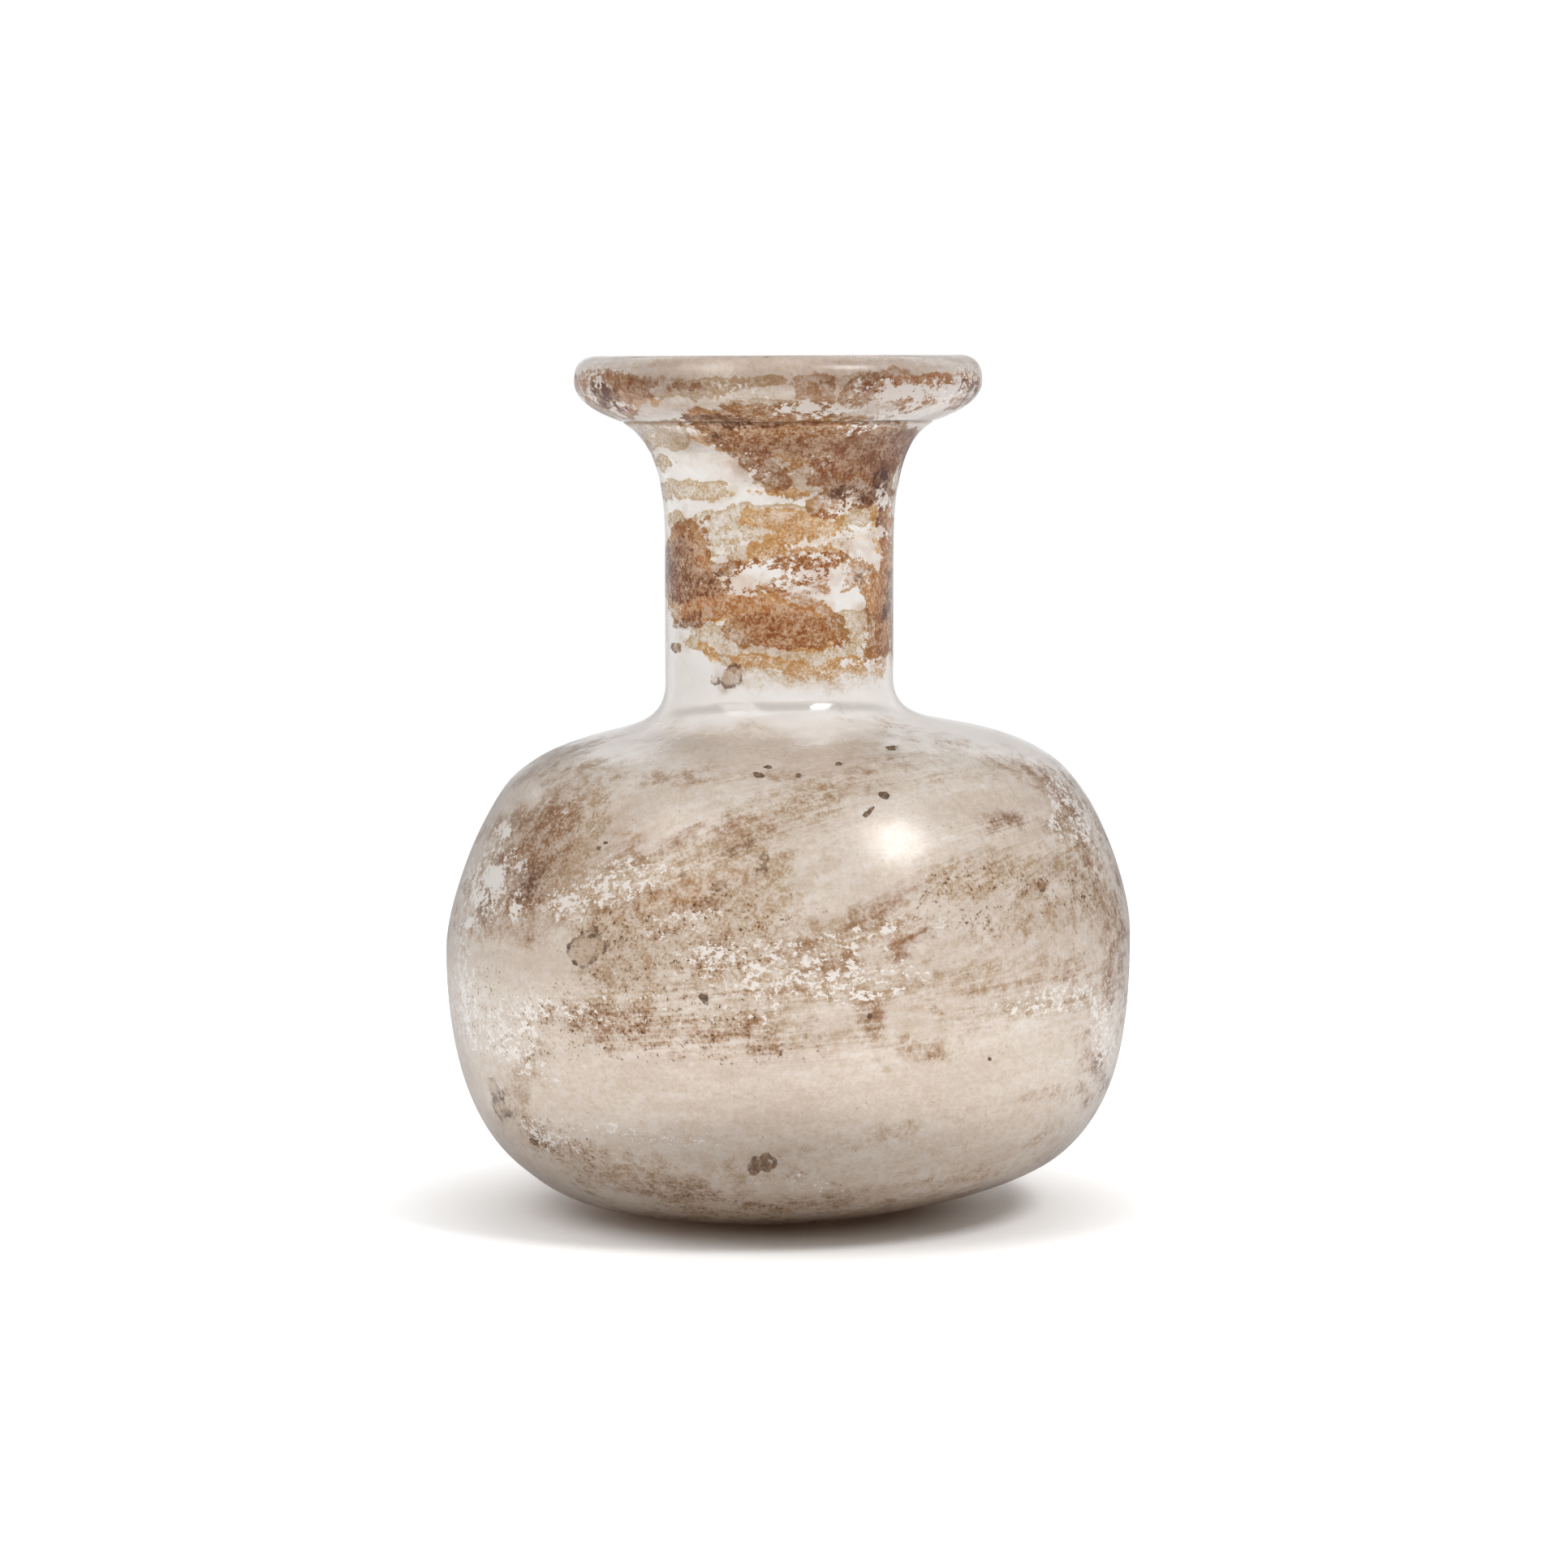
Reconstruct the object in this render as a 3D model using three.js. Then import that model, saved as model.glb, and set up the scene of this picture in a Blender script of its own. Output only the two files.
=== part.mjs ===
// Ancient perfume flask of thin blown glass: a round squat body on a small ring foot,
// a slim neck that opens like a trumpet, and a thick collar where the rim was folded over.
// Millimetres, +Z up. The origin is on the ground, under the middle of the bounding box.
import * as THREE from "three";

const { degToRad, lerp, smoothstep } = THREE.MathUtils;

// Outline of the outside, from the ground up, as radius and height
const FOOT_RADIUS = 10.6;
const FOOT_RING_WIDTH = 2.4;
const FOOT_SLOPE = 10;
const PUSH_UP = 1.6;
const BODY_RADIUS = 35.3;
const BELLY_HEIGHT = 28;
const SHOULDER = { radius: 27.9, height: 45.75, slope: 39.6 };
const NECK_RADIUS = 11.75;
const NECK_FOOT_HEIGHT = 54.8;
const FLARE_HEIGHT = 68.5;
const SEAM = { radius: 15.95, height: 81.2, slope: 28, depth: 0.4 };
const COLLAR = { radius: 20.93, height: 85.5 };
const RIM_RADIUS = 18.6;
const HEIGHT = 88;

// How far each curve keeps its direction as it leaves one of those places for the next
const REACH = {
  foot: 15,
  bellyDown: 24,
  bellyUp: 5.2,
  shoulderDown: 4.5,
  shoulderUp: 9.1,
  neckFoot: 6.5,
  flare: 6.5,
  seamDown: 3.6,
  seamUp: 0.65,
  collarDown: 2.65,
  collarUp: 1.75,
  rimOut: 1.45,
};

// Walls and the inside of the mouth
const WALL_FOOT = 2;
const WALL_BODY = 1.1;
const WALL_NECK = 0.9;
const WALL_EVEN_HEIGHT = 14;
const MOUTH = { radius: 13.6, height: 85.2, rimReach: 2.6, upReach: 1.9, downReach: 3.5 };
const BORE = { top: 71, reach: 6 };

// How the flask sits out of true: its middle wanders to one side and its layers tilt
const MIDDLE = { foot: -1.15, hip: 0.9, belly: 0.42, neck: -0.49, rim: -0.62 };
const HIP_HEIGHT = 5.8;
const NECK_SHIFT = { from: 40, to: 56 };
const RIM_SHIFT = { from: 75, to: 81 };
const BODY_TILT = 1.66;
const BODY_TILT_FULL = 1.5;
const BODY_TILT_END = { from: 49, to: 56 };
const RIM_TILT = 0.23;

const SEGMENTS = 56;

function at(radius, height) {
  return new THREE.Vector2(radius, height);
}

// The point that lies so far from a place, along a slope in degrees above the outward direction
function along(place, slope, distance) {
  const angle = degToRad(slope);
  return at(place.x + distance * Math.cos(angle), place.y + distance * Math.sin(angle));
}

// A smooth curve from a to b, pulled by two handles, without its last point
function bend(a, handleA, handleB, b, steps) {
  return new THREE.CubicBezierCurve(a, handleA, handleB, b).getPoints(steps).slice(0, -1);
}

// A shallow dome from the axis out to a radius, without its last point
function dome(radius, edgeHeight, rise, steps) {
  return Array.from({ length: steps }, (_, i) => {
    const part = i / steps;
    return at(radius * part, edgeHeight + rise * (1 + Math.cos(Math.PI * part)) / 2);
  });
}

const foot = at(FOOT_RADIUS, 0);
const belly = at(BODY_RADIUS, BELLY_HEIGHT);
const shoulder = at(SHOULDER.radius, SHOULDER.height);
const neckFoot = at(NECK_RADIUS, NECK_FOOT_HEIGHT);
const flareStart = at(NECK_RADIUS, FLARE_HEIGHT);
const seam = at(SEAM.radius, SEAM.height);
const collar = at(COLLAR.radius, COLLAR.height);
const rim = at(RIM_RADIUS, HEIGHT);
const mouth = at(MOUTH.radius, MOUTH.height);

// The body from its foot to the foot of the neck, with some steps on each of its three curves
function bodyOutline(lowSteps, highSteps, neckSteps) {
  const shoulderRise = 180 - SHOULDER.slope;
  return [
    ...bend(foot, along(foot, FOOT_SLOPE, REACH.foot),
      along(belly, 90, -REACH.bellyDown), belly, lowSteps),
    ...bend(belly, along(belly, 90, REACH.bellyUp),
      along(shoulder, shoulderRise, -REACH.shoulderDown), shoulder, highSteps),
    ...bend(shoulder, along(shoulder, shoulderRise, REACH.shoulderUp),
      along(neckFoot, 90, -REACH.neckFoot), neckFoot, neckSteps),
    neckFoot,
  ];
}

// The flare, the crease under the folded collar, and the collar up to the flat of the rim
function collarOutline() {
  return [
    ...bend(flareStart, along(flareStart, 90, REACH.flare),
      along(seam, SEAM.slope, -REACH.seamDown), seam, 7),
    seam,
    at(SEAM.radius - SEAM.depth, SEAM.height + SEAM.depth),
    ...bend(along(seam, SEAM.slope, SEAM.depth), along(seam, SEAM.slope, SEAM.depth + REACH.seamUp),
      along(collar, 90, -REACH.collarDown), collar, 5),
    ...bend(collar, along(collar, 90, REACH.collarUp), along(rim, 0, REACH.rimOut), rim, 4),
    rim,
  ];
}

// The rolled lip and the funnel of the mouth, down to the even bore of the neck
function mouthOutline() {
  const bore = at(NECK_RADIUS - WALL_NECK, BORE.top);
  return [
    ...bend(rim, along(rim, 180, MOUTH.rimReach), along(mouth, 90, MOUTH.upReach), mouth, 4),
    ...bend(mouth, along(mouth, 90, -MOUTH.downReach), along(bore, 90, BORE.reach), bore, 6),
    bore,
  ].slice(1);
}

function wallAt(height) {
  const body = lerp(WALL_FOOT, WALL_BODY, smoothstep(height, 0, WALL_EVEN_HEIGHT));
  return lerp(body, WALL_NECK, smoothstep(height, SHOULDER.height, NECK_FOOT_HEIGHT));
}

// The same outline moved inward by the thickness of the wall
function innerFace(outline) {
  return outline.map((point, i) => {
    const before = outline[Math.max(i - 1, 0)];
    const after = outline[Math.min(i + 1, outline.length - 1)];
    const inward = after.clone().sub(before).normalize().rotateAround(at(0, 0), Math.PI / 2);
    return point.clone().addScaledVector(inward, wallAt(point.y));
  });
}

function glassSection() {
  const inner = innerFace(bodyOutline(8, 5, 7));
  const floorEdge = inner[0];
  const floorRise = PUSH_UP + WALL_FOOT - floorEdge.y;
  return [
    ...dome(FOOT_RADIUS - FOOT_RING_WIDTH, 0, PUSH_UP, 4),
    at(FOOT_RADIUS - FOOT_RING_WIDTH, 0),
    ...bodyOutline(12, 6, 8),
    ...collarOutline(),
    ...mouthOutline(),
    ...inner.reverse(),
    ...dome(floorEdge.x, floorEdge.y, floorRise, 4).reverse(),
  ];
}

// Where the middle of the flask lies, sideways, at a height
function middleAt(height) {
  const stretches = [
    [MIDDLE.foot, MIDDLE.hip, 0, HIP_HEIGHT],
    [MIDDLE.hip, MIDDLE.belly, HIP_HEIGHT, BELLY_HEIGHT],
    [MIDDLE.belly, MIDDLE.neck, NECK_SHIFT.from, NECK_SHIFT.to],
    [MIDDLE.neck, MIDDLE.rim, RIM_SHIFT.from, RIM_SHIFT.to],
  ];
  return stretches.reduce(
    (sum, [before, after, low, high]) => sum + (after - before) * smoothstep(height, low, high),
    MIDDLE.foot,
  );
}

// How steeply the glass tilts up to the right at a height; the foot stays flat on the ground
function tiltAt(height) {
  const body = smoothstep(height, 0, BODY_TILT_FULL)
    * (1 - smoothstep(height, BODY_TILT_END.from, BODY_TILT_END.to));
  const rimPart = smoothstep(height, RIM_SHIFT.from, RIM_SHIFT.to);
  return Math.tan(degToRad(BODY_TILT)) * body + Math.tan(degToRad(RIM_TILT)) * rimPart;
}

function flaskGeometry() {
  const geometry = new THREE.LatheGeometry(glassSection(), SEGMENTS);
  geometry.rotateX(Math.PI / 2);
  const places = geometry.getAttribute("position");
  for (let i = 0; i < places.count; i += 1) {
    const x = places.getX(i);
    const z = places.getZ(i);
    places.setX(i, x + middleAt(z));
    places.setZ(i, z + x * tiltAt(z));
  }
  geometry.computeBoundingBox();
  const centre = geometry.boundingBox.getCenter(new THREE.Vector3());
  geometry.translate(-centre.x, -centre.y, 0);
  geometry.computeVertexNormals();
  return geometry;
}

const weatheredGlass = new THREE.MeshStandardMaterial({
  color: 0xcdbda5,
  roughness: 0.35,
  metalness: 0,
  transparent: true,
  opacity: 0.55,
});

const flask = new THREE.Mesh(flaskGeometry(), weatheredGlass);
flask.name = "flask";

const model = new THREE.Group();
model.add(flask);

export default model;
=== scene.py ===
"""Ancient perfume flask of blown glass, weathered in the ground and partly flaked clear again."""
import math
from typing import NamedTuple

import bpy
import numpy as np
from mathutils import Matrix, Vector


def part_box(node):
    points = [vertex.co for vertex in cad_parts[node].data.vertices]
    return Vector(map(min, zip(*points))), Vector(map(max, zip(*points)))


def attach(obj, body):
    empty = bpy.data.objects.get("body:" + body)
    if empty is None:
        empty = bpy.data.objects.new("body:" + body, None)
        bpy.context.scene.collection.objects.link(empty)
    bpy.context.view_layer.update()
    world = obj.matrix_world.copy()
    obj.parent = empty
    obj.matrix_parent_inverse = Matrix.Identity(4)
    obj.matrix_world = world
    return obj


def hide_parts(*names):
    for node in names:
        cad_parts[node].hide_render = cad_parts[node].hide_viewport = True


bl_info = {
    "name": "Ancient Glass Flask",
    "version": (1, 0, 0),
    "blender": (4, 5, 0),
    "location": "3D View > Sidebar > Flask",
    "description": "Blows an ancient glass flask around its packed model and weathers its surface",
    "category": "Object",
}

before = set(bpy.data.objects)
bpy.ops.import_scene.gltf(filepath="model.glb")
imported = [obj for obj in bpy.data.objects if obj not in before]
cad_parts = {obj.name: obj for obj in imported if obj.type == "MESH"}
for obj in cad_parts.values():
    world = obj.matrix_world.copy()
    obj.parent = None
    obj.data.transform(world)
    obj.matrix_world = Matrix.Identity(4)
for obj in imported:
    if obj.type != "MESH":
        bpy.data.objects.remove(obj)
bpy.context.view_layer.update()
FLASK_LOW, FLASK_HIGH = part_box("flask")

MM = 0.001

# The camera that took the reference picture: level with the rim, half a metre away
PICTURE_SIDE = 1932
PICTURE_CAMERA = (-0.42, -500, 88)
PICTURE_AIM_HEIGHT = 44
PICTURE_FOCAL = 6000
PIXELS_PER_MM = 12
SENSOR_WIDTH = 36


# Sizes and colours shown in the panel

def length(about, value):
    """A size in metres."""
    return bpy.props.FloatProperty(
        name=about, description=about, default=value, unit="LENGTH", precision=5)


def slope(about, degrees):
    """An angle, kept in radians."""
    return bpy.props.FloatProperty(
        name=about, description=about, default=math.radians(degrees), subtype="ANGLE")


def share(about, value, most=1.0):
    """A plain number from zero up."""
    return bpy.props.FloatProperty(name=about, description=about, default=value, min=0, max=most)


def colour(about, value):
    """An opaque colour."""
    return bpy.props.FloatVectorProperty(
        name=about, description=about, default=value, subtype="COLOR", size=3, min=0, max=1)


class FlaskShape(bpy.types.PropertyGroup):
    """Sizes of the blown glass"""
    height: length("Height at the middle of the rim", 0.088)
    body_radius: length("Widest radius of the body", (FLASK_HIGH.x - FLASK_LOW.x) / 2)
    belly_height: length("Height of the widest part", 0.028)
    foot_radius: length("Outer radius of the foot ring", 0.0106)
    foot_ring_width: length("Width of the foot ring", 0.0024)
    foot_slope: slope("Slope of the body as it leaves the foot", 10)
    push_up: length("Rise of the hollow under the foot", 0.0016)
    shoulder_radius: length("Radius of the shoulder", 0.0279)
    shoulder_height: length("Height of the shoulder", 0.04575)
    shoulder_slope: slope("Slope of the shoulder", 39.6)
    neck_radius: length("Radius of the neck", 0.01175)
    neck_foot_height: length("Height at which the neck begins", 0.0548)
    flare_height: length("Height at which the neck begins to flare", 0.0685)
    seam_radius: length("Radius of the crease under the collar", 0.01595)
    seam_height: length("Height of the crease under the collar", 0.0812)
    seam_slope: slope("Slope of the flare at the crease", 28)
    seam_depth: length("Depth of the crease", 0.0004)
    collar_radius: length("Widest radius of the collar", 0.02093)
    collar_height: length("Height of the collar's widest part", 0.0855)
    rim_radius: length("Radius of the top of the rim", 0.0186)
    mouth_radius: length("Radius inside the mouth", 0.0136)
    mouth_height: length("Height at which the mouth is measured", 0.0852)
    bore_height: length("Height at which the funnel meets the bore", 0.071)
    wall_foot: length("Thickness of the glass at the foot", 0.002)
    wall_body: length("Thickness of the glass in the body", 0.0011)
    wall_neck: length("Thickness of the glass in the neck", 0.0009)
    body_tilt: slope("How far the body leans up to the right", 1.66)
    rim_tilt: slope("How far the rim leans up to the right", 0.23)
    waviness: length("Depth of the shallow waves in the glass", 0.00007)


class FlaskFinish(bpy.types.PropertyGroup):
    """Tints of the glass and of what weathering left on it"""
    clear: colour("Bare glass", (0.985, 0.96, 0.935))
    clear_dim: colour("Duller streaks in the bare glass", (0.94, 0.90, 0.865))
    inside: colour("Glass of the inner face", (0.98, 0.965, 0.95))
    inside_roughness: share("Roughness of the inner face", 0.05)
    film: colour("Thin weathering film", (0.60, 0.48, 0.36))
    film_cool: colour("Thin film where it is pearly", (0.64, 0.55, 0.47))
    tan: colour("Tan crust", (0.56, 0.38, 0.18))
    brown: colour("Brown crust", (0.48, 0.225, 0.06))
    orange: colour("Rusty wash", (0.82, 0.48, 0.16))
    dark: colour("Dark smears", (0.26, 0.13, 0.06))
    speck: colour("Dark specks", (0.16, 0.075, 0.03))
    edge: colour("Glass seen edge on", (0.32, 0.22, 0.15))
    soil_dark: colour("Dark part of the soil crumbs", (0.08, 0.045, 0.026))
    soil_pale: colour("Pale part of the soil crumbs", (0.21, 0.13, 0.075))
    transmission: share("Share of the light that passes the outer face", 0.66)
    ior: share("Refraction of the glass", 1.45, 3)
    clear_roughness: share("Roughness of bare glass", 0.1)
    film_roughness: share("Added roughness of the film", 0.2)
    crust_roughness: share("Added roughness of the crust", 0.2)


class FlaskStage(bpy.types.PropertyGroup):
    """The studio round the flask"""
    floor_radius: length("Radius of the pale floor", 0.32)
    floor_fade: length("Where the floor begins to fade out", 0.16)
    floor_end: length("Where the floor has faded out", 0.304)
    lamp_distance: length("Distance of the soft lights", 0.9)
    lamp_size: length("Size of the right light", 0.24)
    fill_size: length("Size of the left light", 0.5)
    lamp_turn: slope("How far the lights stand to either side", 48)
    lamp_rise: slope("How high the lights stand", 46)
    left_power: share("Power of the left light in watts", 2.8, 100)
    right_power: share("Power of the right light in watts", 4.4, 100)
    backdrop: share("Brightness of the studio behind the flask", 1.02, 10)
    floor_tint: colour("Pale floor", (0.92, 0.92, 0.92))
    # Painted shadow: the floor is tinted dark close under the foot and turns pale further out
    shade_tint: colour("Dark floor close under the foot", (0.26, 0.20, 0.16))
    shade_start: length("Where the dark floor begins to turn pale", 0.011)
    shade_end: length("Where the floor is fully pale", 0.022)
    sides: share("Brightness of the studio at the sides and in front", 0.6, 10)
    overhead: share("Brightness of the studio overhead", 0.45, 10)
    # Painted light: the floor itself glows, except close to the flask, so that its painted shadow
    # stays dark
    floor_glow: share("Light that comes up through the floor", 0.52, 10)
    glow_start: length("How far from the flask the floor begins to glow", 0.022)
    glow_full: length("How far from the flask the floor glows fully", 0.054)


# The outline, in millimetres as radius and height

class Reach(NamedTuple):
    """How far each curve of the outline keeps its direction as it leaves a place for the next."""
    foot: float = 15
    belly_down: float = 24
    belly_up: float = 5.2
    shoulder_down: float = 4.5
    shoulder_up: float = 9.1
    neck_foot: float = 6.5
    flare: float = 6.5
    seam_down: float = 3.6
    seam_up: float = 0.65
    collar_down: float = 2.65
    collar_up: float = 1.75
    rim_out: float = 1.45
    rim_in: float = 2.6
    mouth_up: float = 1.9
    mouth_down: float = 3.5
    bore: float = 6


REACH = Reach()
WALL_EVEN_HEIGHT = 14

# The middle of the flask wanders sideways: from, to, between these heights
MIDDLE_STRETCHES = (
    (-1.15, 0.9, 0, 5.8),
    (0.9, 0.42, 5.8, 28),
    (0.42, -0.49, 40, 56),
    (-0.49, -0.62, 75, 81),
)
BELLY_MIDDLE = 0.42
TILT_FULL_HEIGHT = 1.5
TILT_END = (49, 56)
RIM_SHIFT = (75, 81)

# Shallow waves in the glass, which start above the foot
WAVE_LENGTH, WAVE_SQUAT, WAVE_SEED = 9, 1.8, 31
WAVE_START = (1, 6)


def smooth(x, low, high):
    """Zero up to low, one from high on, and a smooth rise between them."""
    t = np.clip((np.asarray(x, float) - low) / (high - low), 0, 1)
    return t * t * (3 - 2 * t)


def along(place, angle, distance):
    """The point that lies so far from a place, along a slope above the outward direction."""
    return place[0] + distance * math.cos(angle), place[1] + distance * math.sin(angle)


def bend(a, handle_a, handle_b, b, steps=60):
    """A smooth curve from a to b, pulled by two handles."""
    t = np.linspace(0, 1, steps)[:, None]
    a, handle_a, handle_b, b = (np.array(p, float) for p in (a, handle_a, handle_b, b))
    return ((1 - t) ** 3 * a + 3 * (1 - t) ** 2 * t * handle_a
            + 3 * (1 - t) * t ** 2 * handle_b + t ** 3 * b)


def dome(radius, edge_height, rise, steps=30):
    """A shallow dome from the axis out to a radius."""
    part = np.linspace(0, 1, steps)
    return np.stack([radius * part, edge_height + rise * (1 + np.cos(np.pi * part)) / 2], 1)


def joined(*curves):
    """Curves end to end, without the points that two of them share."""
    line = np.vstack(curves)
    step = np.linalg.norm(np.diff(line, axis=0), axis=1)
    return line[np.append(True, step > 1e-6)]


def evenly(line, spacing):
    """The same line with points about so far apart."""
    reached = np.append(0, np.cumsum(np.linalg.norm(np.diff(line, axis=0), axis=1)))
    places = np.linspace(0, reached[-1], max(2, round(reached[-1] / spacing) + 1))
    return np.stack([np.interp(places, reached, line[:, i]) for i in range(2)], 1)


UP = math.pi / 2
INWARD = math.pi


class Outline:
    """The section of the flask and the way it sits out of true, from the sizes in the panel."""

    def __init__(self, shape):
        self.shape = shape
        self.foot = (shape.foot_radius / MM, 0)
        self.belly = (shape.body_radius / MM, shape.belly_height / MM)
        self.shoulder = (shape.shoulder_radius / MM, shape.shoulder_height / MM)
        self.neck_foot = (shape.neck_radius / MM, shape.neck_foot_height / MM)
        self.flare = (shape.neck_radius / MM, shape.flare_height / MM)
        self.seam = (shape.seam_radius / MM, shape.seam_height / MM)
        self.collar = (shape.collar_radius / MM, shape.collar_height / MM)
        self.rim = (shape.rim_radius / MM, shape.height / MM)
        self.mouth = (shape.mouth_radius / MM, shape.mouth_height / MM)
        self.bore = ((shape.neck_radius - shape.wall_neck) / MM, shape.bore_height / MM)

    def base(self):
        """The hollow under the foot, and the ring the flask stands on."""
        ring = (self.foot[0] - self.shape.foot_ring_width / MM, 0)
        return joined(dome(ring[0], 0, self.shape.push_up / MM), [ring, self.foot])

    def body(self):
        """The body from its foot to the foot of the neck."""
        rise = math.pi - self.shape.shoulder_slope
        return joined(
            bend(self.foot, along(self.foot, self.shape.foot_slope, REACH.foot),
                 along(self.belly, UP, -REACH.belly_down), self.belly, 120),
            bend(self.belly, along(self.belly, UP, REACH.belly_up),
                 along(self.shoulder, rise, -REACH.shoulder_down), self.shoulder),
            bend(self.shoulder, along(self.shoulder, rise, REACH.shoulder_up),
                 along(self.neck_foot, UP, -REACH.neck_foot), self.neck_foot),
        )

    def collar_line(self):
        """The neck, the flare, the crease under the collar, and the collar up to the rim."""
        tilt = self.shape.seam_slope
        depth = self.shape.seam_depth / MM
        fold = along(self.seam, tilt, depth)
        return joined(
            [self.neck_foot, self.flare],
            bend(self.flare, along(self.flare, UP, REACH.flare),
                 along(self.seam, tilt, -REACH.seam_down), self.seam),
            [self.seam, (self.seam[0] - depth, self.seam[1] + depth), fold],
            bend(fold, along(self.seam, tilt, depth + REACH.seam_up),
                 along(self.collar, UP, -REACH.collar_down), self.collar),
            bend(self.collar, along(self.collar, UP, REACH.collar_up),
                 along(self.rim, 0, REACH.rim_out), self.rim),
        )

    def lip(self):
        """The rolled lip, from the top of the rim into the mouth."""
        return bend(self.rim, along(self.rim, INWARD, REACH.rim_in),
                    along(self.mouth, UP, REACH.mouth_up), self.mouth)

    def funnel(self):
        """The inside of the flare, down to the even bore of the neck."""
        return bend(self.mouth, along(self.mouth, UP, -REACH.mouth_down),
                    along(self.bore, UP, REACH.bore), self.bore)

    def cavity(self):
        """The inner face of the neck and the body, from the top down to the floor's middle."""
        line = self.body()
        heading = np.gradient(line, axis=0)
        heading /= np.linalg.norm(heading, axis=1)[:, None]
        inward = np.stack([-heading[:, 1], heading[:, 0]], 1)
        foot, body, neck = (getattr(self.shape, "wall_" + part) / MM
                            for part in ("foot", "body", "neck"))
        wall = foot + (body - foot) * smooth(line[:, 1], 0, WALL_EVEN_HEIGHT)
        wall += (neck - wall) * smooth(line[:, 1], self.shoulder[1], self.neck_foot[1])
        face = (line + inward * wall[:, None])[::-1]
        edge = face[-1]
        floor = dome(edge[0], edge[1], self.shape.push_up / MM + foot - edge[1])
        return joined(face, floor[::-1])

    def settled(self, radius, turn, height):
        """Points of a true round flask moved to where the hand-blown glass has them.

        The turn is 0 at the front and grows towards the right."""
        x = radius * np.sin(turn)
        y = -radius * np.cos(turn)
        middle = MIDDLE_STRETCHES[0][0] - BELLY_MIDDLE + sum(
            (after - before) * smooth(height, low, high)
            for before, after, low, high in MIDDLE_STRETCHES)
        body = smooth(height, 0, TILT_FULL_HEIGHT) * (1 - smooth(height, *TILT_END))
        tilt = (math.tan(self.shape.body_tilt) * body
                + math.tan(self.shape.rim_tilt) * smooth(height, *RIM_SHIFT))
        return np.stack([x + middle, y, height + x * tilt], -1)

    def waved(self, radius, turn, height):
        """The same points with shallow waves pressed into the glass; the foot stays flat."""
        true = np.stack([radius * np.sin(turn), -radius * np.cos(turn), height], -1)
        wave = (1 + value_noise(true * (1, 1, WAVE_SQUAT), WAVE_LENGTH, WAVE_SEED)) / 2
        depth = self.shape.waviness / MM * wave * smooth(height, *WAVE_START)
        return self.settled(radius - depth, turn, height)


# Noise, and the smears laid on the surface where the reference picture shows them

CORNER_MIX = np.array([374761393, 668265263, 2147483647])
SEED_MIX, LAST_MIX = 144665, 1274126177
LOW_16, LOW_32 = 0xFFFF, 0xFFFFFFFF
ABOVE_ZERO = 100


def value_noise(points, size, seed):
    """Smooth noise from -1 to 1 at points in millimetres, with features of about that size."""
    p = points / size + ABOVE_ZERO
    cell = np.floor(p).astype(np.int64)
    part = p - cell
    part = part * part * (3 - 2 * part)
    total = 0
    for corner in range(8):
        offset = np.array([(corner >> k) & 1 for k in range(3)])
        mixed = ((cell + offset) * CORNER_MIX).sum(-1) + seed * SEED_MIX
        mixed = (mixed ^ (mixed >> 13)) * LAST_MIX & LOW_32
        mixed = (mixed ^ (mixed >> 16)) & LOW_16
        weight = np.prod(np.where(offset, part, 1 - part), axis=-1)
        total = total + weight * (2 * mixed / LOW_16 - 1)
    return total


def warp(points, size, seed):
    """Two noises at once, for moving a place sideways and upward."""
    return np.stack([value_noise(points, size, seed), value_noise(points, size, seed + 7)], -1)


class Smear(NamedTuple):
    """One patch of a layer. Places and half sizes are pixels of the reference picture.

    lean is how steeply the patch rises to the right, in degrees, and corner makes it boxier."""
    layer: str
    x: float
    y: float
    wide: float
    tall: float
    lean: float = 0
    corner: float = 2


LAYERS = ("film", "tan", "brown", "orange", "dark", "bare", "flecks", "specks", "drops", "brushed")


def smears(**layers):
    """Smears from the places and sizes listed for each layer."""
    return tuple(Smear(layer, *place) for layer, places in layers.items() for place in places)


COLLAR = smears(
    film=[(960, 470, 260, 42, 0, 4)],
    tan=[(800, 478, 90, 20, -4), (860, 474, 60, 10, -4), (940, 468, 30, 6), (1050, 469, 40, 10)],
    brown=[(768, 480, 66, 22, -8), (745, 484, 48, 30, -20), (790, 474, 40, 12), (838, 476, 22, 8),
           (1003, 478, 30, 21, 0, 3), (958, 508, 20, 4, 5), (1115, 480, 90, 21, 4),
           (1105, 462, 18, 6, 12), (1182, 490, 22, 12, 35), (1180, 468, 30, 6, -10)],
    orange=[(765, 484, 70, 24, -8), (795, 480, 18, 5, -10), (1150, 478, 66, 20, 4)],
    dark=[(745, 488, 30, 12, -40), (1192, 480, 18, 12, 35)],
    bare=[(728, 488, 5, 10, 35), (764, 508, 13, 4, -30), (995, 505, 25, 5, 2),
          (1110, 486, 38, 13, 12), (1165, 484, 20, 11, 30), (1120, 508, 60, 4, 14),
          (1050, 500, 50, 4, 4)],
    flecks=[(735, 466, 30, 22, -30), (905, 481, 55, 9), (1080, 485, 45, 16, 8),
            (1190, 470, 24, 30)],
    specks=[(872, 474, 16, 5, -8), (1075, 485, 55, 14, 10)],
)

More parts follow.
